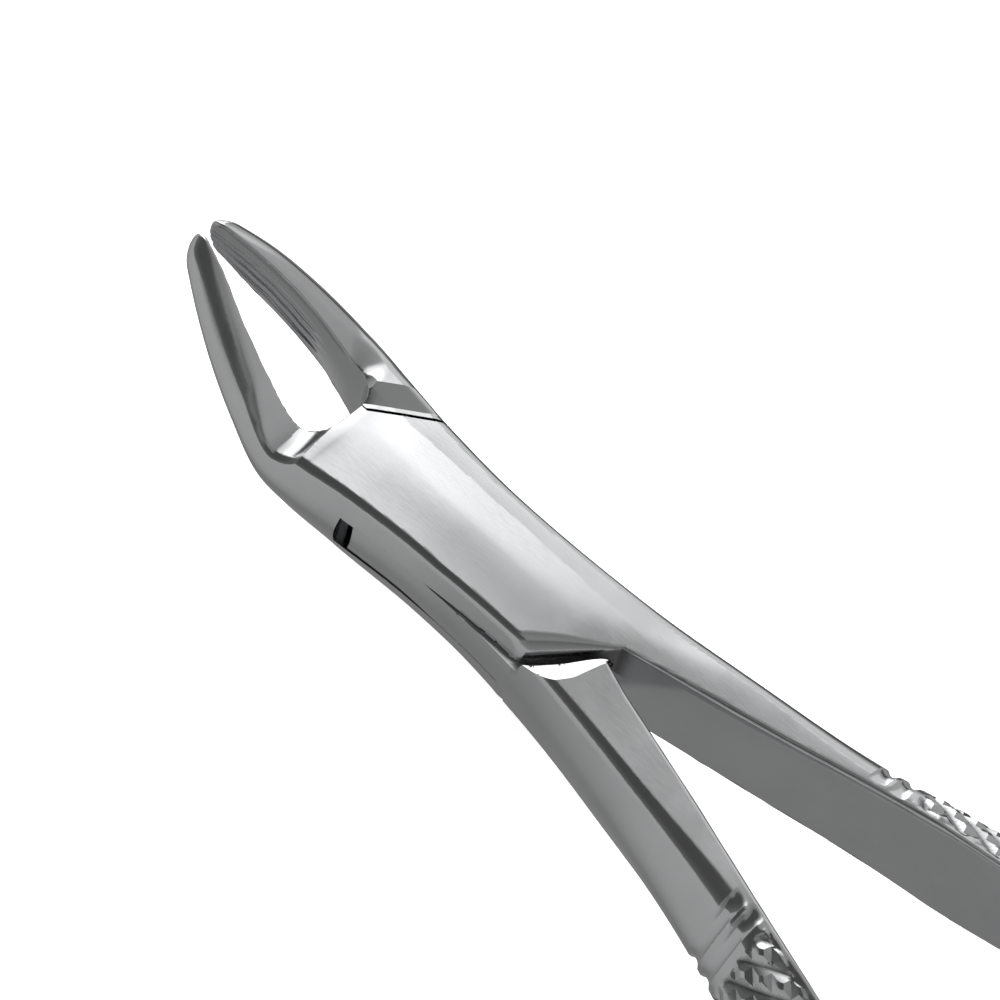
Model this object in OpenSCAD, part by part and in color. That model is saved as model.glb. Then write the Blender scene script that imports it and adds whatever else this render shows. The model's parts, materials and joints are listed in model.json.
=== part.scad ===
// Extraction forceps with a box joint, shown closed.
// +X runs towards the beaks, +Y to the side of the left beak, +Z up along the
// pivot. The origin is on the pivot axis, on the flat underside of the box.

/* [Overall] */
// Distance from the pivot to the beak tips
beak_reach = 33.5; // [31:0.5:36]
// Distance from the pivot to the handle ends
handle_reach = 145; // [138:1:160]
// Gap between the beak tips when the forceps are closed
tip_gap = 0.8; // [0.4:0.1:2]
// Length over which each beak tip is rounded
tip_round = 1.6; // [1:0.1:2.5]
// Length over which each handle end is rounded
handle_round = 6; // [4:0.5:8]

/* [Box joint] */
// Length of the pivot, through both walls of the box and the tongue
box_t = 8; // [7.6:0.1:8.4]
// Thickness of the tongue that passes through the box
tongue_t = 3.3; // [2.6:0.1:3.8]
// Clearance on each face of the tongue
tongue_clear = 0.05; // [0.03:0.01:0.1]
// Gap at each end of the slot, seen as a notch on the side of the box
notch_gap = 1.35; // [1.35:0.05:1.7]
// Gap between the edges of the walls and the shoulders of the other half
shoulder_gap = 0.3; // [0.2:0.05:0.5]
// Distance from the pivot to the wall edges at the beak end
front_edge = 10.3; // [9.8:0.1:10.6]
// Distance from the pivot to the wall edges at the handle end
rear_edge = 12.2; // [11.8:0.1:12.6]
// Length of the scoop that leads from the tongue up to the handle
scoop_len = 3.2; // [2:0.1:4]

/* [Pivot] */
// Diameter of the pivot pin
pin_d = 4; // [3:0.1:5]
// Radial running clearance of the pin in the tongue
pin_clear = 0.05; // [0.02:0.01:0.1]

/* [Ground flat] */
// Length of the flat that is ground on the underside of the box
flat_len = 14; // [10:1:16]
// Depth that is ground away to make the flat
flat_depth = 0.15; // [0.05:0.05:0.3]

/* [Hidden] */
$fn = 64;

half_t = box_t / 2;
front_crotch = 14.6;
rear_crotch = -16.4;
crotch_half = 1;
// Far enough to be outside the whole forceps
far = 200;

// Directions from the pivot, square to the wall edges
front_dir = -48;
rear_dir = 141;
// Corner of the tongue beside the notch, and how far inward the notch runs
tongue_x = 7.2;
corner_y = 6.65;
notch_floor = 4.75;
// Half width of the nose between the wall edge and the crotch of the beaks
nose_half = 1.55;

// Each profile is a list of [x, value] rows that a smooth curve joins.
// Half of the gap between the handles, and between the beaks
handle_gap = [[-handle_reach, 15.6], [-120, 17.6], [-100, 17.5], [-80, 15.8],
    [-60, 12.8], [-50, 10.5], [-40, 7.7], [-30, 4.7], [-20, 1.95],
    [rear_crotch, crotch_half]];
beak_gap = [[front_crotch, crotch_half], [15, 2.3], [16, 3.2], [18, 3.8],
    [21, 3.75], [25, 3.05], [29, 1.85], [beak_reach, tip_gap / 2]];
// Half width at the widest point of the side
side_out = [[-handle_reach, 21], [-120, 24], [-100, 24], [-80, 22.4],
    [-60, 19.5], [-50, 17], [-38, 12.9], [-26, 9.5], [-14, 7], [-6, 6.3],
    [2, 6.6], [9, 7.4], [13, 8.1], [17, 8.5], [21, 7.8], [25, 6.65],
    [29, 5], [beak_reach, 2.5]];
// Half width at the edges where the side meets the top and the bottom
side_edge = [[-handle_reach, 18.4], [-120, 20.6], [-100, 20.5], [-80, 18.8],
    [-60, 15.5], [-50, 13], [-38, 9.8], [-26, 7.9], [-13, 6.1], [0, 5.4],
    [9, 6], [14, 6.7], [17, 7], [21, 6.1], [25, 4.9], [29, 3.3],
    [beak_reach, 1.3]];
// Heights of the top and the bottom along the inner edges
top_line = [[-handle_reach, -3.4], [-120, -2], [-90, -0.1], [-60, 2],
    [-50, 2.7], [-40, 3.1], [-30, 3.3], [-20, 3.6], [-12, half_t],
    [0, half_t + 0.1], [8, half_t + 0.1], [13.5, half_t], [16.5, 3.9],
    [19, 4.8], [21, 5.8], [25, 8], [29, 10], [beak_reach, 11.5]];
bottom_line = [[-handle_reach, -13.9], [-125, -13.7], [-90, -11.5],
    [-55, -9.3], [-40, -7], [-30, -5.9], [-20, -5.1], [-12, -4.6],
    [-6, -half_t - flat_depth], [6, -half_t - flat_depth], [13, -3.2],
    [17, -1.7], [21, 0.7], [25, 2.9], [29, 5.3], [beak_reach, 8]];
// Drop of the outer edges from those heights
edge_drop = [[-handle_reach, 1.6], [-60, 1.6], [-50, 1.4], [-38, 0.6],
    [-26, 0.2], [-13, 0.3], [0, 0.35], [13, 0.3], [17, 0.9], [25, 0.9],
    [29, 1.1], [beak_reach, 0.6]];
// Depth of the hollow along the inner face of a beak
hollow = [[front_crotch, 0], [20, 0.4], [29, 0.6], [beak_reach, 0.2]];

// Places of the sections, with closer ones where the ends are rounded, whose
// depths from the end are fractions of the rounded length
end_depths = [0, 0.1, 0.25, 0.5, 1];
handle_xs = concat([for (d = end_depths) handle_round * d - handle_reach],
    [-132, -120, -110, -100, -90, -80, -70, -60, -54, -48, -42, -36, -31,
     -26, -22, -19]);
box_xs = [rear_crotch, -14, -11, -8, -5, -2, 1, 4, 7, 10, 12.5, front_crotch];
beak_xs = concat([15, 15.5, 16.2, 17, 18, 19.5, 21, 23, 25, 27, 29, 30.5],
    [for (d = reversed(end_depths)) beak_reach - tip_round * d]);
xs = concat(handle_xs, box_xs, beak_xs);
first_box = len(handle_xs);
last_box = first_box + len(box_xs) - 1;

// Steps down the side of a section, from its upper to its lower edge
side_steps = [1, 0.85, 0.6, 0.3, 0, -0.3, -0.6, -0.85, -1];
skin_n = len(side_steps) + 4;
ring_n = skin_n + 2;

// Smooth curve through the rows of a profile
function slope(rows, i) = let (
    a = rows[max(i - 1, 0)], b = rows[min(i + 1, len(rows) - 1)])
    (b[1] - a[1]) / (b[0] - a[0]);
function curve(rows, x) = let (
    i = max([for (k = [0:len(rows) - 2]) if (k == 0 || x >= rows[k][0]) k]),
    a = rows[i], b = rows[i + 1], run = b[0] - a[0], t = (x - a[0]) / run)
    a[1] * (2 * t * t * t - 3 * t * t + 1)
    + slope(rows, i) * run * (t * t * t - 2 * t * t + t)
    + b[1] * (3 * t * t - 2 * t * t * t)
    + slope(rows, i + 1) * run * (t * t * t - t * t);

function gap_half(x) = x < rear_crotch ? curve(handle_gap, x)
    : x > front_crotch ? curve(beak_gap, x) : crotch_half;
function hollow_at(x) = x > front_crotch ? curve(hollow, x) : 0;
// Scale of a section that lies in a rounded end
function round_at(depth) = depth >= 1 ? 1 : sqrt(1 - (1 - depth) * (1 - depth));
function end_scale(x) = max(0.3, min(
    round_at((x + handle_reach) / handle_round),
    round_at((beak_reach - x) / tip_round)));

// Section of the left side at x, as [y, z] points: top, side, bottom, inside
function section(x) = let (
    gap = gap_half(x), edge = curve(side_edge, x),
    bulge = curve(side_out, x) - edge, drop = curve(edge_drop, x),
    top = curve(top_line, x), bottom = curve(bottom_line, x),
    mid = (top + bottom) / 2, half = (top - bottom) / 2 - drop,
    inside = gap + hollow_at(x), middle = (gap + edge) / 2)
    concat([[gap, top], [middle, top - drop / 3]],
        [for (s = side_steps) [edge + bulge * (1 - s * s), mid + half * s]],
        [[middle, bottom + drop / 3], [gap, bottom],
         [inside, (top + 2 * bottom) / 3], [inside, (2 * top + bottom) / 3]]);
function ring(x) = let (
    points = section(x), k = end_scale(x),
    y0 = (curve(side_out, x) + gap_half(x)) / 2,
    z0 = (curve(top_line, x) + curve(bottom_line, x)) / 2)
    [for (p = points) [x, y0 + k * (p[0] - y0), z0 + k * (p[1] - z0)]];

// Number of a point: side is 0 on the left and 1 on the right
function at(side, i, j) = (side * len(xs) + i) * ring_n + j % ring_n;
function two(a, b, c, d, flip) = flip ? [[a, c, b], [a, d, c]]
    : [[a, b, c], [a, c, d]];
function flat_list(lists) = [for (l = lists) each l];
function reversed(l) = [for (i = [len(l) - 1:-1:0]) l[i]];

// Both halves as one solid, before the joint is cut
module blank() {
    rings = [for (x = xs) ring(x)];
    left = flat_list(rings);
    right = [for (p = left) [p[0], -p[1], p[2]]];
    last = len(xs) - 1;
    inner = skin_n - 1;
    widest = floor(inner / 2);
    skins = flat_list([for (s = [0, 1]) for (i = [0:last - 1])
        for (j = [0:(i >= first_box && i < last_box ? inner : ring_n) - 1])
            two(at(s, i, j), at(s, i, j + 1), at(s, i + 1, j + 1),
                at(s, i + 1, j), s == 1)]);
    strips = flat_list([for (i = [first_box:last_box - 1])
        for (j = [0, inner])
            two(at(0, i, j), at(0, i + 1, j), at(1, i + 1, j), at(1, i, j),
                j > 0)]);
    crotches = flat_list([for (i = [first_box, last_box])
        for (j = [inner:ring_n - 1])
            two(at(0, i, j), at(0, i, j + 1), at(1, i, j + 1), at(1, i, j),
                i == last_box)]);
    ends = [for (s = [0, 1]) for (i = [0, last])
        for (j = [widest + 1:widest + ring_n - 2]) let (
            face = [at(s, i, widest), at(s, i, j), at(s, i, j + 1)])
            (s == 0) == (i == 0) ? reversed(face) : face];
    polyhedron(concat(left, right), concat(skins, strips, crotches, ends));
}

function polar(r, a) = [r * cos(a), r * sin(a)];

// Shoulder of the tongue half at the beaks, beyond the walls' front edges
module front_block(edge, nose) {
    foot = polar(edge, front_dir);
    along = polar(1, front_dir + 90);
    corner = foot + along * (-nose - foot[1]) / along[1];
    linear_extrude(far, center = true) polygon([foot - 20 * along, corner,
        [front_crotch + 0.7, -nose], [front_crotch + 1.4, 0], [far, 0],
        [far, -far / 2], foot - 20 * along - [0, far / 4]]);
}

// Shoulder of the tongue half at the handles, beyond the walls' rear edges
module rear_block(edge) {
    foot = polar(edge, rear_dir);
    along = polar(1, rear_dir + 90);
    corner = foot + along * (-crotch_half - foot[1]) / along[1];
    linear_extrude(far, center = true) polygon([foot - 20 * along, corner,
        [rear_crotch - 1.4, 0], [-far, 0], [-far, far / 2],
        foot - 20 * along + [0, far / 4]]);
}

// Band that the tongue takes up between the two ends of the slot. Without a
// notch, its corners are bevelled so that they turn clear of the slot's ends
module tongue_band(thickness, notch, root) {
    x = tongue_x + notch;
    y = notch_floor + notch / 4;
    lean = notch > 0 ? 0 : 40;
    outer = [x - lean, corner_y + 40];
    linear_extrude(thickness, center = true) polygon([
        outer, [x, corner_y], [x, y], [front_crotch + 1, 1 + root],
        [front_crotch + 1.4, 0], [far, 0], [far, -far / 2],
        -outer, [-x, -corner_y], [-x, -y], [rear_crotch - 1, -0.8 - root],
        [rear_crotch - 1.4, 0], [-far, 0], [-far, far / 2]]);
}

// Scoops that lead from the tongue up and down to the handle
module scoops() {
    rise = 2.4;
    r = (scoop_len * scoop_len + rise * rise) / (2 * rise);
    for (side = [-1, 1]) rotate([0, 0, rear_dir])
        translate([rear_edge, 0, side * (tongue_t / 2 + r)])
        rotate([90, 0, 0]) cylinder(r = r, h = 60, center = true);
}

module tongue_half() {
    color("gainsboro") translate([0, 0, half_t]) difference() {
        intersection() {
            blank();
            union() {
                tongue_band(tongue_t, 0, 0);
                front_block(front_edge + shoulder_gap, nose_half);
                rear_block(rear_edge + shoulder_gap);
            }
        }
        scoops();
        cylinder(d = pin_d + 2 * pin_clear, h = far, center = true);
    }
}

module box_half() {
    color("lightgray") translate([0, 0, half_t]) difference() {
        blank();
        tongue_band(tongue_t + 2 * tongue_clear, notch_gap, 0.3);
        front_block(front_edge, nose_half - shoulder_gap / 2);
        rear_block(rear_edge);
        cylinder(d = pin_d, h = far, center = true);
        translate([-flat_len / 2, -far / 2, -half_t - far])
            cube([flat_len, far, far]);
    }
}

module pivot_pin() {
    color("silver") cylinder(d = pin_d, h = box_t);
}

box_half();
tongue_half();
pivot_pin();
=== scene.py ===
import json
import math

import bpy
import numpy as np
from mathutils import Matrix, Vector

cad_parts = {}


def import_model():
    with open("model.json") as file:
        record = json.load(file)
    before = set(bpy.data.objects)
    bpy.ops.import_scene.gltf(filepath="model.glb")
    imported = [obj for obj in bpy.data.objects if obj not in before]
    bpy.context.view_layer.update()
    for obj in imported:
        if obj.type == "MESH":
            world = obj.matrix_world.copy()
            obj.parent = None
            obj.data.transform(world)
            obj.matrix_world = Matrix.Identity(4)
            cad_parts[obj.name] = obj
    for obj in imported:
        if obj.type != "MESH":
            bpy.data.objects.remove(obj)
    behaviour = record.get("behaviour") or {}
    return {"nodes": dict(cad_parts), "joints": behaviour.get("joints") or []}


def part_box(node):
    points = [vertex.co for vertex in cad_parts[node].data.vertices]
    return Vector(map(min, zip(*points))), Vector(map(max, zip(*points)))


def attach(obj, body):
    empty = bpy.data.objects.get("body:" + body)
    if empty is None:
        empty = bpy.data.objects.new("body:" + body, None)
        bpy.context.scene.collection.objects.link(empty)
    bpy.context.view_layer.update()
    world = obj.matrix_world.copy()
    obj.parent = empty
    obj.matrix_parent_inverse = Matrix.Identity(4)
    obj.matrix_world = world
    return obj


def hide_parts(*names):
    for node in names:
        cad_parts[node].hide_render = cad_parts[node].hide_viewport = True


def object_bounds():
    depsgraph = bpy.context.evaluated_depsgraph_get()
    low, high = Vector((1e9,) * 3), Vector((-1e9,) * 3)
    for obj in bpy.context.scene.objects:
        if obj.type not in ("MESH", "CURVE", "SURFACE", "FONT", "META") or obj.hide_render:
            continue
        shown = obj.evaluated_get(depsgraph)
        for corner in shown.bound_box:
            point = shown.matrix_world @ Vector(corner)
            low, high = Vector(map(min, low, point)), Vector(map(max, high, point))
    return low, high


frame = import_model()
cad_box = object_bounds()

# The two halves are closed surfaces drawn from one formula of their shape.
# Lengths are millimetres from the pivot plane, and MM turns them into metres.
MM = 0.001
PIVOT_Z = frame["joints"][0]["pos_m"][2] / MM
HALF_T = PIVOT_Z

# ---- Sizes of the reach and the joint, the same as the CAD part's ----
BEAK_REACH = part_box("box_half")[1].x / MM
HANDLE_REACH = -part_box("box_half")[0].x / MM
TIP_GAP = 0.8
FRONT_CROTCH = 14.6
REAR_CROTCH = -16.4
CROTCH_HALF = 1.0
FRONT_EDGE = 10.3
REAR_EDGE = 12.2
FRONT_DIR = math.radians(-48)
REAR_DIR = math.radians(141)
NOSE_HALF = 1.55
SHOULDER_GAP = 0.3
TONGUE_HALF = 1.65
TONGUE_CLEAR = 0.05
NOTCH_GAP = 1.35
TONGUE_X = 7.2
CORNER_Y = 6.65
NOTCH_FLOOR = 4.75
PIN_R = 2.0
FLAT_HALF = 7.0

# Profiles along x, as [x, value] rows, the CAD part's or close to them
HANDLE_GAP = [[-HANDLE_REACH, 15.6], [-120, 17.6], [-100, 17.5], [-80, 15.8],
              [-60, 12.8], [-50, 10.5], [-40, 7.7], [-30, 4.7], [-20, 1.95],
              [REAR_CROTCH, CROTCH_HALF]]
BEAK_GAP = [[FRONT_CROTCH, 3.5], [18, 3.8], [21, 3.75], [25, 3.05],
            [29, 1.85], [BEAK_REACH, TIP_GAP / 2]]
SIDE_OUT = [[-HANDLE_REACH, 21], [-120, 24], [-100, 24], [-80, 22.4],
            [-60, 19.5], [-50, 17], [-38, 12.9], [-26, 9.5], [-14, 7],
            [-6, 6.3], [2, 6.6], [9, 7.4], [13, 8.1], [17, 8.5], [21, 7.8],
            [25, 6.65], [29, 5], [BEAK_REACH, 2.5]]
SIDE_EDGE = [[-HANDLE_REACH, 18.4], [-120, 20.6], [-100, 20.5], [-80, 18.8],
             [-60, 15.5], [-50, 13], [-38, 9.8], [-26, 7.9], [-13, 6.1],
             [0, 5.4], [9, 6], [14, 6.7], [17, 7], [21, 6.0], [25, 4.65],
             [29, 3.05], [BEAK_REACH, 1.1]]
TOP_LINE = [[-HANDLE_REACH, -3.4], [-120, -2], [-90, -0.1], [-60, 2],
            [-50, 2.7], [-40, 3.1], [-30, 3.3], [-20, 3.6], [-12, HALF_T],
            [0, HALF_T + 0.2], [8, HALF_T + 0.15], [13.5, HALF_T],
            [16.5, 3.9], [19, 4.8], [21, 5.8], [25, 8], [29, 10],
            [BEAK_REACH, 11.5]]
BOTTOM_LINE = [[-HANDLE_REACH, -13.9], [-125, -13.7], [-90, -11.5],
               [-55, -9.3], [-40, -7], [-30, -5.9], [-20, -5.1], [-12, -4.6],
               [-6, -HALF_T - 0.15], [6, -HALF_T - 0.15], [13, -3.2],
               [17, -1.7], [21, 0.7], [25, 2.9], [29, 5.3], [BEAK_REACH, 8]]
EDGE_DROP = [[-HANDLE_REACH, 1.6], [-60, 1.6], [-50, 0.7], [-43, 0.1],
             [-38, 0.08], [-26, 0.08], [-13, 0.3], [0, 0.35], [13, 0.3],
             [17, 0.15], [25, 0.12], [29, 0.1], [BEAK_REACH, 0.1]]
# Radius that rounds the edge between the top and the side
EDGE_ROUND = [[-HANDLE_REACH, 2.0], [-52, 2.0], [-43, 0.95], [-38, 0.8],
              [-20, 0.75], [-8, 0.6], [14, 0.5], [17, 0.45], [20, 0.65],
              [29, 0.75], [BEAK_REACH, 0.8]]
# Radius of the edges along the gaps between the handles and the beaks
INNER_ROUND = [[-HANDLE_REACH, 0.7], [-20, 0.5], [REAR_CROTCH, 0.15],
               [FRONT_CROTCH, 0.15], [29, 0.25], [BEAK_REACH, 0.7]]
# How late the top bends down to that edge: 2 is a plain crown
CROWN_POWER = [[-HANDLE_REACH, 2.5], [-50, 2.5], [-42, 4], [-20, 4], [-12, 2],
               [13, 2], [18, 4], [BEAK_REACH, 4]]
HOLLOW = [[FRONT_CROTCH, 0], [20, 0.4], [29, 0.6], [BEAK_REACH, 0.2]]
# Middle of each half across the forceps, for the half with the left handle
MID_LINE = [[-HANDLE_REACH, 18.3], [-120, 20.8], [-100, 20.75], [-80, 19.1],
            [-60, 16.2], [-50, 13.8], [-38, 10.1], [-26, 6.4], [-17, 2.6],
            [-11, 0], [12, 0], [17, -3], [21, -5.2], [25, -4.8], [29, -3.4],
            [BEAK_REACH, -1.6]]
MID_HEIGHT = [[-HANDLE_REACH, -8.6], [-125, -8], [-90, -5.8], [-55, -3.4],
              [-40, -1.9], [-20, -0.7], [-6, 0], [8, 0], [13, 0.4],
              [17, 1.3], [21, 3.2], [25, 5.4], [29, 7.7], [BEAK_REACH, 9.7]]

# Radii that round the beak tips, the handle ends and the beaks' crotch
TIP_ROUND = 1.6
HANDLE_ROUND = 4.5
CROTCH_ROUND = 2.2
# Length of the gradient of the gap between the handles
HANDLE_GAP_SLOPE = 1.04
# The side's bulge: how soft its middle is, and how late it curves inwards
BELLY_SOFT = 0.02
BELLY_POWER = 0.7
# Places of the mesh along x, as (start, end, spacing)
MESH_PLACES = ((-HANDLE_REACH - 0.5, -62, 0.36), (-62, -41.7, 0.27),
               (-41.7, -37.5, 0.18), (-37.5, -19, 0.4), (-19, -8, 0.22),
               (-8, 8, 0.3), (8, 15, 0.18), (15, BEAK_REACH + 0.5, 0.16))
# Half the mesh's reach across a half and over its height
MESH_Y = 9.8
MESH_Z = 6.7
# Spacing of the mesh across each half, and the share of it used along x
MESH_STEP = 0.26
MESH_SCALE = [[-HANDLE_REACH, 1.35], [-62, 1.3], [-48, 1.02], [-19, 1.0],
              [4, 0.95], [14, 0.88], [18, 0.63], [BEAK_REACH, 0.6]]
# A cell's planes fix its vertex only along directions at least this strong,
# as a share of the strongest, which keeps flat places even
EDGE_STRENGTH = 0.012
# The furthest that a vertex moves from the middle of its points, in spacings
VERTEX_REACH = 1.2
# How far the upper wall's side sits in from the tongue's side
WALL_IN = 0.75
# Past the walls, a trench and then a hollow that rises to the handle: where
# each begins and ends, by place along the walls' end, and the hollow's start
SCOOP_NEAR = [[0.5, 0.1], [1.2, 0.15], [2, 0.6], [3.2, 1.0], [4.9, 1.05],
              [7.5, 0.86], [9.3, 0.83], [10.2, 1.2], [12, 2]]
SCOOP_FAR = [[0.5, 4.2], [4.3, 3.9], [6.4, 3.45], [7.9, 2.65], [9.8, 1.85],
             [12, 2.2]]
SCOOP_RIM = [[0.5, 2.1], [1.2, 2.3], [2, 2.65], [4.3, 3.0], [6.4, 3.1],
             [7.9, 3.35], [9.8, 3.66], [10.6, 3.85], [12, HALF_T]]
# Rounding of the upper wall's handle end, by place along that end
WALL_ROUND = [[0, 2.1], [2.6, 1.95], [6, 1.5], [8.5, 0.9], [11, 0.35],
              [14, 0.5], [18, 0.8]]

# Knurling, and the two grooves in front of it
KNURL_START = -42.2
KNURL_END = -HANDLE_REACH + 7
KNURL_PITCH = 2.0
KNURL_SLANT = math.radians(40)
KNURL_DEPTH = 0.5
KNURL_CREST = 0.15
# Share of the pitch that a groove's side takes, and the depth of the second
# set of grooves as a share of the first's
KNURL_SIDE = 0.38
KNURL_SECOND = 0.65
BARREL_R = 5.8
# Place of each groove, and how far from the inner edge it fades out
GROOVES = ((-39.0, 0.9), (-40.9, 0.4))
GROOVE_HALF = 0.8
GROOVE_DEPTH = 0.4
# Ridges on the beaks' inner faces: how many over their height, how high
SERRATION_COUNT = 7
SERRATION_HEIGHT = 0.08
# Groove across the root of the left beak: middle, floor, radius, how much it
# slants, and how far ahead it fades out
ROOT_X = 16.9
ROOT_Z = 3.15
ROOT_R = 3.3
ROOT_SLANT = 0.08
ROOT_FADE = 5.0
# Shallow dip across the root of the right beak: middle, floor and radius
DIP_X = 17.0
DIP_Z = 4.05
DIP_R = 6.0
# Right side of the joint's top: where it starts to lean, and how much
FACET_Y = 3.3
FACET_SLOPE = 0.04


# ---- Shape ----
def hermite(rows, x):
    """A smooth curve through the rows of a profile."""
    at = np.array(rows, float)
    xs, ys = at[:, 0], at[:, 1]
    last = len(xs) - 1
    before = np.maximum(np.arange(last + 1) - 1, 0)
    after = np.minimum(np.arange(last + 1) + 1, last)
    slopes = (ys[after] - ys[before]) / (xs[after] - xs[before])
    i = np.clip(np.searchsorted(xs, x, "right") - 1, 0, last - 1)
    run = xs[i + 1] - xs[i]
    t = (x - xs[i]) / run
    return (ys[i] * (2 * t**3 - 3 * t**2 + 1)
            + slopes[i] * run * (t**3 - 2 * t**2 + t)
            + ys[i + 1] * (3 * t**2 - 2 * t**3)
            + slopes[i + 1] * run * (t**3 - t**2))


FINE_X = np.arange(-HANDLE_REACH - 2, BEAK_REACH + 2, 0.02)


def profile(rows, low=None, high=None):
    """A function of x that looks the smooth curve up."""
    lo = rows[0][0] if low is None else low
    hi = rows[-1][0] if high is None else high
    values = hermite(rows, np.clip(FINE_X, lo, hi))
    return lambda x: np.interp(x, FINE_X, values)


gap_handle = profile(HANDLE_GAP)
gap_beak = profile(BEAK_GAP)
side_out = profile(SIDE_OUT)
side_edge = profile(SIDE_EDGE)
top_line = profile(TOP_LINE)
bottom_line = profile(BOTTOM_LINE)
edge_drop = profile(EDGE_DROP)
edge_round = profile(EDGE_ROUND)
crown_power = profile(CROWN_POWER)
inner_round = profile(INNER_ROUND)
hollow = profile(HOLLOW)
mid_line = profile(MID_LINE)
mid_height = profile(MID_HEIGHT)
mesh_scale = profile(MESH_SCALE)
wall_round = profile(WALL_ROUND)
scoop_near = profile(SCOOP_NEAR)
scoop_far = profile(SCOOP_FAR)
scoop_rim = profile(SCOOP_RIM)


def smooth(low, high, x):
    """0 at low and 1 at high, with a soft start and end."""
    t = np.clip((x - low) / (high - low), 0, 1)
    return t * t * (3 - 2 * t)


def round_meet(a, b, r):
    """Where both a and b are negative, with the edge between them rounded."""
    return (np.minimum(-r, np.maximum(a, b))
            + np.hypot(np.maximum(r + a, 0), np.maximum(r + b, 0)))


def knurl(x, around):
    """Height of the diamond pattern, from 0 in a groove to 1 on top."""
    def family(sign):
        u = (x * math.sin(KNURL_SLANT)
             + sign * around * math.cos(KNURL_SLANT)) / KNURL_PITCH
        return np.clip(np.abs(u - np.round(u)) / KNURL_SIDE, 0, 1)
    return np.minimum(family(1), 1 - KNURL_SECOND + KNURL_SECOND * family(-1))


def around_handle(ay, z, gap, mid):
    """Distance round a handle's barrel, from its middle height."""
    return BARREL_R * np.arctan2(z - mid, ay - gap)


def knurled(x):
    """1 along the knurled part of the handles, fading out at its ends."""
    return (smooth(KNURL_START, KNURL_START - 0.8, x)
            * smooth(KNURL_END, KNURL_END + 1, x))


def pattern_depth(x, ay, z, gap, mid):
    """Steel that the knurling and the grooves take away from the skin."""
    around = around_handle(ay, z, gap, mid)
    rim = smooth(0.7, 1.3, ay - gap)
    cut = KNURL_DEPTH * (1 - knurl(x, around)) - KNURL_CREST
    depth = cut * knurled(x) * rim
    for place, fade in GROOVES:
        bowl = np.clip(1 - ((x - place) / GROOVE_HALF) ** 2, 0, 1)
        depth = depth + GROOVE_DEPTH * bowl * smooth(fade, fade + 2, ay - gap)
    return depth


def facet(x, y):
    """How far the top leans down along the joint's right side."""
    lean = FACET_SLOPE * np.maximum(-y - FACET_Y, 0)
    return lean * smooth(-24, -14, x) * smooth(18, 15, x)


def serration(x, height):
    """Fine wavy ridges along the lower part of the beaks' inner faces."""
    wave = 0.35 * np.sin(1.1 * x) + 0.2 * np.sin(2.7 * x)
    ridges = 0.5 + 0.5 * np.cos(SERRATION_COUNT * math.pi * height + wave)
    part = smooth(20.5, 23.5, x) * smooth(0.15, -0.15, height)
    return SERRATION_HEIGHT * ridges * part * smooth(-1.0, -0.85, height)


def gap_half(x):
    """Half the gap between the beaks, or between the handles."""
    return np.where(x > 0, gap_beak(x), gap_handle(x))


def limb(x, y, z, inset=0.0, lift=0.0, wall=None, wall_radius=0.0):
    """One half before the joint is cut: negative inside the steel.

    inset moves the side in, lift raises the top, and wall is a face that
    meets the top with a rounded edge.
    """
    ay = np.abs(y)
    out, edge, drop = side_out(x), side_edge(x), edge_drop(x)
    top, bottom = top_line(x), bottom_line(x)
    gap = gap_half(x)
    mid, half = (top + bottom) / 2, (top - bottom) / 2 - drop
    height = np.clip((z - mid) / half, -1.4, 1.4)
    bulge = out - edge
    belly = (height**2 + BELLY_SOFT) ** BELLY_POWER
    slope = 2 * BELLY_POWER * bulge * height / half
    side = (ay + inset - edge - bulge * (1 - belly)) / np.hypot(1, slope)
    inner = gap * (smooth(-13, -20, x) + smooth(12, 18, x))
    across = np.clip((ay - inner) / (edge - inner), 0, 3) ** crown_power(x)
    crown = 2 * drop * across / (1 + across)
    crown = crown + facet(x, y)
    cap = z - top + crown - lift
    if wall is not None:
        cap = round_meet(cap, wall, wall_radius)
    cap = np.maximum(cap, bottom + crown - z)
    skin = round_meet(cap, side, edge_round(x))
    skin = skin + pattern_depth(x, ay, z, gap, mid)
    skin = round_meet(skin, x - BEAK_REACH, TIP_ROUND)
    skin = round_meet(skin, -HANDLE_REACH - x, HANDLE_ROUND)
    # The gap between the beaks, with hollow faces, and that of the handles
    face = gap + hollow(x) * np.clip(1 - height**2, 0, 1)
    face = face - serration(x, height)
    beaks = round_meet(ay - face, FRONT_CROTCH - x, CROTCH_ROUND)
    handles = np.maximum((ay - gap) / HANDLE_GAP_SLOPE, x - REAR_CROTCH)
    return round_meet(skin, -np.where(x > 0, beaks, handles), inner_round(x))


def line_coords(x, y, direction, edge):
    """Distance beyond a wall's edge, and place along that edge."""
    c, s = math.cos(direction), math.sin(direction)
    return c * x + s * y - edge, -s * x + c * y


def tongue_top(y):
    """Half the tongue's thickness, its rim leaning a little outwards."""
    return TONGUE_HALF - 0.07 * np.maximum(np.abs(y) - 5.4, 0)


def front_block(x, y, edge, nose):
    """Negative where the half with the right beak lies past the walls."""
    beyond, _ = line_coords(x, y, FRONT_DIR, edge)
    limit = np.where(x > FRONT_CROTCH + 1, 0, -nose)
    return np.maximum(-beyond, y - limit)


def rear_block(x, y, edge):
    """Negative where the half with the left handle lies past the walls."""
    beyond, _ = line_coords(x, y, REAR_DIR, edge)
    inner = np.maximum(CROTCH_HALF, gap_handle(x))
    return np.maximum(-beyond, -inner - y)


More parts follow.
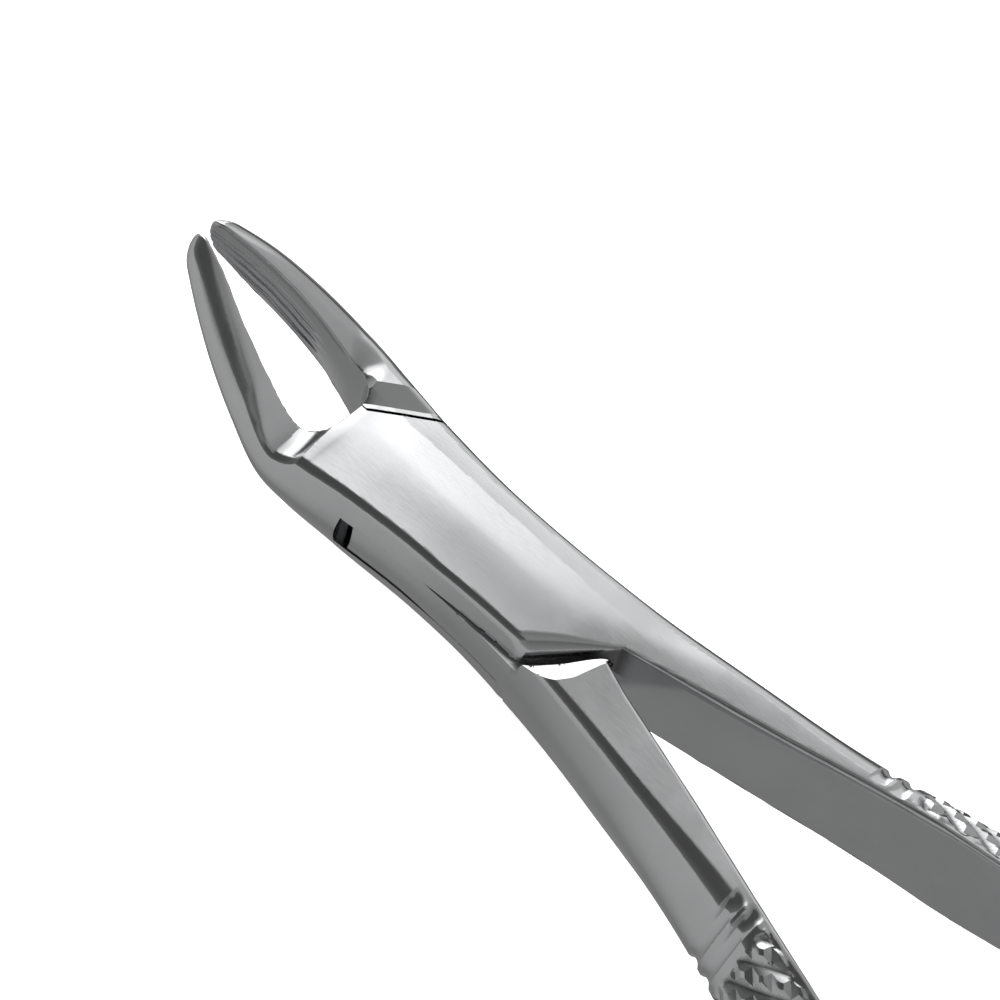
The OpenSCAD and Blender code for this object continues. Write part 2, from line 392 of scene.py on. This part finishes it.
def tongue_end(x, y, notch, root, crotch, spread):
    """Negative on the tongue's side of its end, or of its slot's end."""
    x0, y0 = TONGUE_X + notch, NOTCH_FLOOR + notch / 4
    x1, y1 = crotch, spread + root
    length = math.hypot(x1 - x0, y1 - y0)
    nx, ny = (y0 - y1) / length, (x1 - x0) / length
    slanted = nx * (x - x0) + ny * (y - y0)
    straight = x - x0
    bevel = (x + y - TONGUE_X - CORNER_Y) / math.sqrt(2)
    if not notch:
        straight = np.maximum(straight, bevel)
    return np.where(x > crotch, y, np.minimum(slanted, straight))


def tongue_zone(x, y, z, half, notch, root):
    """Negative within the tongue, or within the slot that it passes through."""
    front = tongue_end(x, y, notch, root, FRONT_CROTCH + 1, 1)
    rear = tongue_end(-x, -y, notch, root, -REAR_CROTCH - 0.2, 0.8)
    return np.maximum(np.maximum(np.abs(z) - half, front), rear)


def root_groove(x, y):
    """Depth of the groove at the left beak's root: round behind, gentle ahead."""
    centre = ROOT_X - ROOT_SLANT * np.abs(y)
    ahead = x - centre
    arc = ROOT_Z + ROOT_R - np.sqrt(np.maximum(ROOT_R**2 - ahead**2, 0))
    gentle = (top_line(centre) - ROOT_Z) * smooth(ROOT_FADE, 0, ahead)
    return np.maximum(np.where(ahead < 0, top_line(x) - arc, gentle), 0)


def box_half_shape(x, y, z):
    """The half with the left beak, the box and the right handle."""
    beyond, along = line_coords(x, y, REAR_DIR, REAR_EDGE)
    inner = np.maximum(CROTCH_HALF, gap_handle(x))
    upper = (z > 0) & (y > 0)
    inset = np.where(upper, WALL_IN * np.clip((-0.5 - x) / 11, 0, 1), 0)
    wall = np.minimum(beyond, y + inner)
    steel = limb(x, y, z, inset=inset, lift=-root_groove(x, y), wall=wall,
                 wall_radius=wall_round(along))
    zone = tongue_zone(x, y, z, TONGUE_HALF + TONGUE_CLEAR, NOTCH_GAP, 0.3)
    zone = np.minimum(zone, front_block(x, y, FRONT_EDGE,
                                        NOSE_HALF - SHOULDER_GAP / 2))
    zone = np.minimum(zone, rear_block(x, y, REAR_EDGE))
    bore = np.maximum(np.hypot(x, y) - PIN_R - 0.02, z)
    ground = np.maximum(np.abs(x) - FLAT_HALF, z + HALF_T)
    return np.maximum(np.maximum(steel, -zone), np.maximum(-bore, -ground))


def tongue_half_shape(x, y, z):
    """The half with the right beak, the tongue and the left handle."""
    beyond, _ = line_coords(x, y, FRONT_DIR, FRONT_EDGE + SHOULDER_GAP)
    fade = smooth(18 + np.maximum(-y - 3.4, 0), 15, x)
    rise = np.clip(0.3 * (beyond - 0.42), 0, 0.65) * fade
    nose = np.where((x > 0) & (y < 0) & (z > 0), rise, 0)
    inset = np.where(y > 0, 0.12 * smooth(-4, 2, x), 0)
    steel = limb(x, y, z, inset=inset, lift=nose)
    dip = DIP_Z + 0.22 * np.maximum(-y - 2.8, 0)
    steel = np.maximum(steel, DIP_R - np.hypot(x - DIP_X + 0.12 * np.abs(y),
                                               z - dip - DIP_R))
    zone = tongue_zone(x, y, z, tongue_top(y), 0, 0)
    zone = np.minimum(zone, front_block(x, y, FRONT_EDGE + SHOULDER_GAP,
                                        NOSE_HALF))
    zone = np.minimum(zone, rear_block(x, y, REAR_EDGE + SHOULDER_GAP))
    bore = PIN_R + 0.05 - np.hypot(x, y)
    return np.maximum(np.maximum(steel, zone), np.maximum(scoop(x, y, z), bore))


def scoop(x, y, z):
    """Past the walls: the trench, the hollow and the handle, as one field."""
    past, along = line_coords(x, y, REAR_DIR, REAR_EDGE)
    near, far = scoop_near(along), scoop_far(along)
    share = np.clip((past - near) / (far - near), 0, 1)
    rim = scoop_rim(along)
    rise = rim + (HALF_T - rim) * share**1.15
    hollow_part = np.maximum(near - past, z - rise)
    plain = np.minimum(far - past, np.maximum(z, SHOULDER_GAP - past))
    steel = np.minimum(np.abs(z) - tongue_top(y), hollow_part)
    return np.where(x < 0, np.minimum(steel, plain), -1)


# ---- Mesh from the shape, with its edges kept sharp ----
def steps(*parts):
    """Places along x, from parts given as (start, end, step)."""
    places = [np.linspace(a, b, int(round((b - a) / s)), endpoint=False)
              for a, b, s in parts]
    return np.concatenate(places + [[parts[-1][1]]])


def gradient(shape, p, step=0.01):
    """Unit directions in which the shape's value grows, at the points p."""
    g = np.empty_like(p)
    for axis in range(3):
        move = np.zeros(3)
        move[axis] = step
        g[:, axis] = shape(*(p + move).T) - shape(*(p - move).T)
    return g / np.maximum(np.linalg.norm(g, axis=1, keepdims=True), 1e-12)


def crossings(shape, grid, values, axis):
    """Where the surface crosses the grid's edges along one axis."""
    low = np.take(values, range(values.shape[axis] - 1), axis)
    high = np.take(values, range(1, values.shape[axis]), axis)
    index = np.argwhere((low < 0) != (high < 0))
    step = np.zeros(3, int)
    step[axis] = 1
    a, b = grid(index), grid(index + step)
    fa = low[tuple(index.T)]
    fb = high[tuple(index.T)]
    lo, hi = np.zeros(len(a)), np.ones(len(a))
    for _ in range(6):
        t = np.clip(lo + (hi - lo) * fa / (fa - fb), lo + 0.02 * (hi - lo),
                    hi - 0.02 * (hi - lo))
        f = shape(*(a + t[:, None] * (b - a)).T)
        same = (f < 0) == (fa < 0)
        lo, hi = np.where(same, t, lo), np.where(same, hi, t)
        fa, fb = np.where(same, f, fa), np.where(same, fb, f)
    point = a + ((lo + hi) / 2)[:, None] * (b - a)
    inside_low = values[tuple(index.T)] < 0
    return index, point, inside_low


def surface(shape, xs, y_mid, z_mid):
    """Vertices and quads of the surface, by fitting a point in each cell."""
    vs = np.arange(-MESH_Y, MESH_Y + MESH_STEP, MESH_STEP)
    ws = np.arange(-MESH_Z, MESH_Z + MESH_STEP, MESH_STEP)
    y_at, z_at, scale = y_mid(xs), z_mid(xs), mesh_scale(xs)

    def grid(i):
        s = scale[i[:, 0]]
        return np.stack([xs[i[:, 0]], y_at[i[:, 0]] + s * vs[i[:, 1]],
                         z_at[i[:, 0]] + s * ws[i[:, 2]]], 1)

    x = xs[:, None, None]
    s = scale[:, None, None]
    values = shape(x, y_at[:, None, None] + s * vs[None, :, None] + 0 * x,
                   z_at[:, None, None] + s * ws[None, None, :] + 0 * x)
    size = values.shape
    cells, points, normals, quads = [], [], [], []
    for axis in range(3):
        index, point, inside = crossings(shape, grid, values, axis)
        normal = gradient(shape, point)
        one, two = [np.eye(3, dtype=int)[(axis + k) % 3] for k in (1, 2)]
        corners = [index - one - two, index - two, index, index - one]
        ids = np.stack([np.ravel_multi_index(c.T, size, "clip")
                        for c in corners], 1)
        for k in range(4):
            cells.append(ids[:, k])
            points.append(point)
            normals.append(normal)
        quads.append(np.where(inside[:, None], ids, ids[:, ::-1]))
    used, verts = fit_points(np.concatenate(cells), np.concatenate(points),
                             np.concatenate(normals))
    return verts, np.searchsorted(used, np.concatenate(quads))


def fit_points(cells, points, normals):
    """The cells in use, and in each the point nearest to all its planes."""
    used, cell = np.unique(cells, return_inverse=True)
    n = len(used)

    def total(w):
        return np.bincount(cell, w, n)

    count = total(np.ones(len(cell)))
    centre = np.stack([total(points[:, k]) / count for k in range(3)], 1)
    away = ((points - centre[cell]) * normals).sum(1)
    right = np.stack([total(normals[:, k] * away) for k in range(3)], 1)
    left = np.empty((n, 3, 3))
    for r in range(3):
        for c in range(3):
            left[:, r, c] = total(normals[:, r] * normals[:, c])
    weight, basis = np.linalg.eigh(left)
    keep = weight > EDGE_STRENGTH * weight[:, -1:]
    inverse = np.where(keep, 1 / np.where(keep, weight, 1), 0)
    local = np.einsum("nji,nj->ni", basis, right) * inverse
    shift = np.einsum("nij,nj->ni", basis, local)
    far = np.linalg.norm(shift, axis=1, keepdims=True)
    limit = VERTEX_REACH * MESH_STEP
    shift *= np.minimum(1, limit / np.maximum(far, 1e-9))
    return used, centre + shift


def trench(x, y, z):
    """1 in the trench between the upper wall's end and the handle."""
    past, along = line_coords(x, y, REAR_DIR, REAR_EDGE)
    below = smooth(-0.15, 0.05, HALF_T - wall_round(along) - z)
    across = (smooth(-0.2, -0.1, past)
              * smooth(0.1, -0.1, past - scoop_near(along)))
    length = smooth(12.5, 11, along) * smooth(1.8, 2.6, along)
    return below * across * length * (z > 0) * (x < 0)


def knurl_pits(x, y, z):
    """1 at the bottom of the knurling's grooves."""
    gap, ay = gap_half(x), np.abs(y)
    mid = (top_line(x) + bottom_line(x)) / 2
    low = smooth(0.45, 0.05, knurl(x, around_handle(ay, z, gap, mid)))
    return low * smooth(0.9, 1.3, ay - gap) * knurled(x)


def painted_crevice_shade(x, y, z):
    """Painted shade: how far a point lies in the trench or the knurling's pits, where the
    steel's colour is darkened to stand in for shade.
    """
    return np.maximum(trench(x, y, z), knurl_pits(x, y, z))


def quad_mesh(name, verts, faces):
    """A smooth-shaded mesh, moved to the row frame and into metres."""
    mesh = bpy.data.meshes.new(name)
    mesh.vertices.add(len(verts))
    row = (verts + [0, 0, PIVOT_Z]) * MM
    mesh.vertices.foreach_set("co", row.ravel())
    mesh.loops.add(faces.size)
    mesh.loops.foreach_set("vertex_index", faces.ravel())
    mesh.polygons.add(len(faces))
    mesh.polygons.foreach_set("loop_start", np.arange(len(faces)) * 4)
    mesh.polygons.foreach_set("use_smooth", np.ones(len(faces), bool))
    mesh.update(calc_edges=True)
    mesh.validate()
    return mesh


def build(name, shape, y_sign):
    """One half as an object, with normals from its exact shape."""
    verts, faces = surface(shape, steps(*MESH_PLACES),
                           lambda x: y_sign * mid_line(x), mid_height)
    mesh = quad_mesh(name, verts, faces)
    # Normals are read a little inside each face, so that edges stay sharp
    middle = verts[faces].mean(1)
    corner = verts[faces] * 0.8 + middle[:, None] * 0.2
    normals = gradient(shape, corner.reshape(-1, 3))
    mesh.normals_split_custom_set(normals.tolist())
    piece = bpy.data.objects.new(name, mesh)
    bpy.context.scene.collection.objects.link(piece)
    # Painted shade: a mask that darkens the steel's colour in the trench and the
    # knurling's pits
    shade = mesh.attributes.new("painted_crevice_shade", "FLOAT", "POINT")
    shade.data.foreach_set("value", painted_crevice_shade(*verts.T))
    return piece


# Vector operations whose result is one number
SCALAR_RESULTS = ("DOT_PRODUCT", "LENGTH")


class Graph:
    """Short calls for adding nodes to one tree."""

    def __init__(self, tree):
        self.tree = tree

    def node(self, kind, **settings):
        made = self.tree.nodes.new(kind)
        for key, value in settings.items():
            setattr(made, key, value)
        return made

    def put(self, socket, value):
        """Links the socket to value, or sets it where value is a constant."""
        if isinstance(value, bpy.types.NodeSocket):
            self.tree.links.new(value, socket)
        else:
            socket.default_value = value

    def math(self, operation, *values):
        made = self.node("ShaderNodeMath", operation=operation)
        for socket, value in zip(made.inputs, values):
            self.put(socket, value)
        return made.outputs[0]

    def vector(self, operation, *values):
        made = self.node("ShaderNodeVectorMath", operation=operation)
        for socket, value in zip(made.inputs, values):
            self.put(socket, value)
        return made.outputs["Value" if operation in SCALAR_RESULTS else 0]

    def ramp(self, value, low, high, to_low=0.0, to_high=1.0, soft=True):
        """to_low up to low, to_high from high on, and a slope in between."""
        made = self.node("ShaderNodeMapRange",
                         interpolation_type="SMOOTHSTEP" if soft else "LINEAR")
        for name, part in (("Value", value), ("From Min", low),
                           ("From Max", high), ("To Min", to_low),
                           ("To Max", to_high)):
            self.put(made.inputs[name], part)
        return made.outputs["Result"]

    def noise(self, place, scale, detail):
        made = self.node("ShaderNodeTexNoise")
        self.put(made.inputs["Vector"], place)
        made.inputs["Scale"].default_value = scale
        made.inputs["Detail"].default_value = detail
        return made.outputs[0]

    def mix(self, share, one, two):
        made = self.node("ShaderNodeMix", data_type="RGBA")
        self.put(made.inputs[0], share)
        self.put(made.inputs[6], one)
        self.put(made.inputs[7], two)
        return made.outputs[2]


# ---- Materials ----
# Distance between the turning marks on the pin, in metres
RING_PITCH = 0.12 * MM


def polished_steel():
    """Stainless steel: satin grain along the tool, handling marks, and painted shade in
    the trench and the knurling's pits.
    """
    material = bpy.data.materials.new("polished_steel")
    material.use_nodes = True
    shader = material.node_tree.nodes["Principled BSDF"]
    shader.inputs["Metallic"].default_value = 1.0
    g = Graph(material.node_tree)
    place = g.node("ShaderNodeTexCoord").outputs["Object"]
    # Noise per metre: the grain is ten times longer than it is wide
    grain = g.noise(g.vector("MULTIPLY", place, (900, 9000, 9000)), 1.0, 3)
    cloud = g.noise(place, 160.0, 4)
    marks = g.noise(g.vector("MULTIPLY", place, (1, 3, 3)), 700.0, 6)
    recess_shade = g.node("ShaderNodeAttribute", attribute_name="painted_crevice_shade").outputs["Fac"]
    rough = g.math("ADD", g.ramp(grain, 0.3, 0.7, 0.0, 0.05),
                   g.ramp(cloud, 0.35, 0.65, 0.11, 0.15))
    rough = g.math("ADD", rough, g.ramp(marks, 0.62, 0.75, 0.0, 0.04))
    rough = g.math("ADD", rough, g.math("MULTIPLY", recess_shade, 0.25))
    g.put(shader.inputs["Roughness"], rough)
    tone = g.math("SUBTRACT", g.ramp(cloud, 0.3, 0.7, 0.0, 1.0),
                  g.ramp(marks, 0.6, 0.8, 0.0, 0.5))
    unshaded = g.mix(tone, (0.60, 0.605, 0.612, 1), (0.64, 0.645, 0.652, 1))
    # Painted shade: the colour turns nearly black in the trench and the knurling's pits
    colour = g.mix(g.math("MULTIPLY", recess_shade, 0.75), unshaded, (0.07, 0.07, 0.072, 1))
    g.put(shader.inputs["Base Color"], colour)
    bump = g.node("ShaderNodeBump")
    g.put(bump.inputs["Height"], grain)
    bump.inputs["Strength"].default_value = 0.04
    bump.inputs["Distance"].default_value = 0.00005
    g.put(shader.inputs["Normal"], bump.outputs[0])
    return material


def pin_steel():
    """The pin's ends: turned steel, with fine rings round the pivot."""
    material = bpy.data.materials.new("pin_steel")
    material.use_nodes = True
    shader = material.node_tree.nodes["Principled BSDF"]
    shader.inputs["Metallic"].default_value = 1.0
    g = Graph(material.node_tree)
    place = g.node("ShaderNodeTexCoord").outputs["Object"]
    flat = g.vector("MULTIPLY", place, (1, 1, 0))
    radius = g.vector("LENGTH", flat)
    rings = g.math("SINE", g.math("MULTIPLY", radius, 2 * math.pi / RING_PITCH))
    cloud = g.noise(place, 500.0, 3)
    rough = g.math("ADD", g.ramp(rings, -1.0, 1.0, 0.20, 0.30),
                   g.ramp(cloud, 0.3, 0.7, 0.0, 0.08))
    g.put(shader.inputs["Roughness"], rough)
    g.put(shader.inputs["Base Color"],
          g.mix(cloud, (0.50, 0.50, 0.505, 1), (0.60, 0.60, 0.605, 1)))
    bump = g.node("ShaderNodeBump")
    g.put(bump.inputs["Height"], rings)
    bump.inputs["Strength"].default_value = 0.2
    bump.inputs["Distance"].default_value = 0.00001
    g.put(shader.inputs["Normal"], bump.outputs[0])
    return material


# ---- Stage ----
# The view: the point looked at and the distance to it, in millimetres, the
# direction as azimuth, elevation and roll in degrees, and the lens
TARGET = (1.68, -6.25, PIVOT_Z)
DISTANCE = 631.2
DIRECTION = (117.15, 53.85, 19.53)
LENS = 268.9
SENSOR = 36
# The floor's size in metres, and how much light it gives off
FLOOR_SIZE = 4
FLOOR_GLOW = 0.65
# The overhead light: width and height in metres, and watts
OVERHEAD_SIZE = 1.2
OVERHEAD_Z = 1.0
OVERHEAD_POWER = 12


def camera():
    """A long lens above the left handle, turned so the beaks point up left."""
    target = Vector(TARGET) * MM
    azimuth, elevation, roll = map(math.radians, DIRECTION)
    back = Vector((math.cos(elevation) * math.cos(azimuth),
                   math.cos(elevation) * math.sin(azimuth),
                   math.sin(elevation)))
    data = bpy.data.cameras.new("camera")
    data.sensor_width = SENSOR
    data.lens = LENS
    data.clip_end = 10
    made = bpy.data.objects.new("camera", data)
    bpy.context.scene.collection.objects.link(made)
    turn = back.to_track_quat("Z", "Y").to_matrix()
    made.matrix_world = (Matrix.Translation(target + back * DISTANCE * MM)
                         @ (turn @ Matrix.Rotation(roll, 3, "Z")).to_4x4())
    bpy.context.scene.camera = made


def floor():
    """A plain pale floor, which the steel doesn't mirror."""
    bpy.ops.mesh.primitive_plane_add(size=FLOOR_SIZE,
                                     location=(0, 0, cad_box[0].z))
    made = bpy.context.object
    made.name = "floor"
    material = bpy.data.materials.new("floor")
    material.use_nodes = True
    shader = material.node_tree.nodes["Principled BSDF"]
    shader.inputs["Base Color"].default_value = (0.9, 0.9, 0.9, 1)
    shader.inputs["Roughness"].default_value = 0.9
    shader.inputs["Emission Color"].default_value = (1, 1, 1, 1)
    shader.inputs["Emission Strength"].default_value = FLOOR_GLOW
    made.data.materials.append(material)
    made.visible_glossy = False


# Panels on the studio's ceiling, in heights of the ceiling: x and y from and
# to, softness of the rim, and brightness added
CEILING = [((0.29, 1.9), (-0.98, -0.40), 0.09, 1.0),
           ((0.05, 3.0), (-0.20, 0.3), 0.08, -0.33),
           ((-0.4, 3.0), (0.3, 1.7), 0.08, -0.33),
           ((-3.0, -0.45), (0.05, 3.0), 0.12, -0.23)]
# Upright strip lights: azimuth, half-width, height from and to, brightness
STRIPS = [(-46, 17, -0.25, 0.72, 1.4), (-76, 12, 0.12, 0.72, 0.35),
          (-82, 16, -0.45, -0.08, -0.38)]
# Brightness of the plain surroundings by height, and the least anywhere
ROOM = [(-1, 0.25), (-0.7, 0.28), (-0.2, 0.45), (0.4, 0.50), (0.8, 0.42),
        (1, 0.27)]
DARKEST = 0.085


def window(g, value, low, high, soft):
    """1 between low and high, falling to 0 over a soft rim."""
    up = g.ramp(value, low - soft, low + soft)
    down = g.ramp(value, high - soft, high + soft, 1.0, 0.0)
    return g.math("MULTIPLY", up, down)


def world():
    """A studio seen in the steel: a pale room, softboxes, a dark screen."""
    made = bpy.data.worlds.new("studio")
    bpy.context.scene.world = made
    made.use_nodes = True
    g = Graph(made.node_tree)
    way = g.node("ShaderNodeTexCoord").outputs["Generated"]
    parts = g.node("ShaderNodeSeparateXYZ")
    g.put(parts.inputs[0], way)
    x, y, z = parts.outputs
    total = ROOM[0][1]
    for (z0, low), (z1, high) in zip(ROOM, ROOM[1:]):
        total = g.math("ADD", total, g.ramp(z, z0, z1, 0.0, high - low,
                                            soft=False))
    total = add_panels(g, total, x, y, z)
    total = add_strips(g, total, way, z)
    background = made.node_tree.nodes["Background"]
    g.put(background.inputs["Color"], (1, 1, 1, 1))
    g.put(background.inputs["Strength"], g.math("MAXIMUM", total, DARKEST))


def add_panels(g, total, x, y, z):
    """The brightness so far, with the ceiling's panels added."""
    above = g.math("MAXIMUM", z, 0.05)
    across, along = g.math("DIVIDE", x, above), g.math("DIVIDE", y, above)
    for (x0, x1), (y0, y1), soft, strength in CEILING:
        panel = g.math("MULTIPLY", window(g, across, x0, x1, soft),
                       window(g, along, y0, y1, soft))
        panel = g.math("MULTIPLY", panel, g.ramp(z, 0.1, 0.25))
        total = g.math("ADD", total, g.math("MULTIPLY", panel, strength))
    return total


def add_strips(g, total, way, z):
    """The brightness so far, with the upright strip lights added."""
    for azimuth, half, z0, z1, strength in STRIPS:
        turn = math.radians(azimuth)
        ahead = g.vector("DOT_PRODUCT", way, (math.cos(turn), math.sin(turn), 0))
        aside = g.vector("DOT_PRODUCT", way, (-math.sin(turn), math.cos(turn), 0))
        level = g.math("DIVIDE", aside, g.math("MAXIMUM", ahead, 0.01))
        width = math.tan(math.radians(half))
        strip = g.math("MULTIPLY", window(g, level, -width, width, 0.05),
                       window(g, z, z0, z1, 0.08))
        strip = g.math("MULTIPLY", strip, g.ramp(ahead, 0.1, 0.3))
        total = g.math("ADD", total, g.math("MULTIPLY", strip, strength))
    return total


def floor_light():
    """A large overhead panel that the steel doesn't mirror."""
    data = bpy.data.lights.new("overhead", "AREA")
    data.shape = "DISK"
    data.size = OVERHEAD_SIZE
    data.energy = OVERHEAD_POWER
    made = bpy.data.objects.new("overhead", data)
    made.location = (0, 0, OVERHEAD_Z)
    made.visible_glossy = False
    bpy.context.scene.collection.objects.link(made)


def main():
    """Sets the stage, and puts a detailed half in place of each CAD half."""
    camera()
    world()
    floor()
    floor_light()
    bpy.context.scene.view_settings.view_transform = "Standard"
    polished = polished_steel()
    for node, shape, y_sign, body in (
            ("box_half", box_half_shape, -1, "box_side"),
            ("tongue_half", tongue_half_shape, 1, "tongue_side")):
        piece = build(node + "_steel", shape, y_sign)
        piece.data.materials.append(polished)
        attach(piece, body)
        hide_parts(node)
    pin = frame["nodes"]["pivot_pin"]
    pin.data.materials.clear()
    pin.data.materials.append(pin_steel())


main()
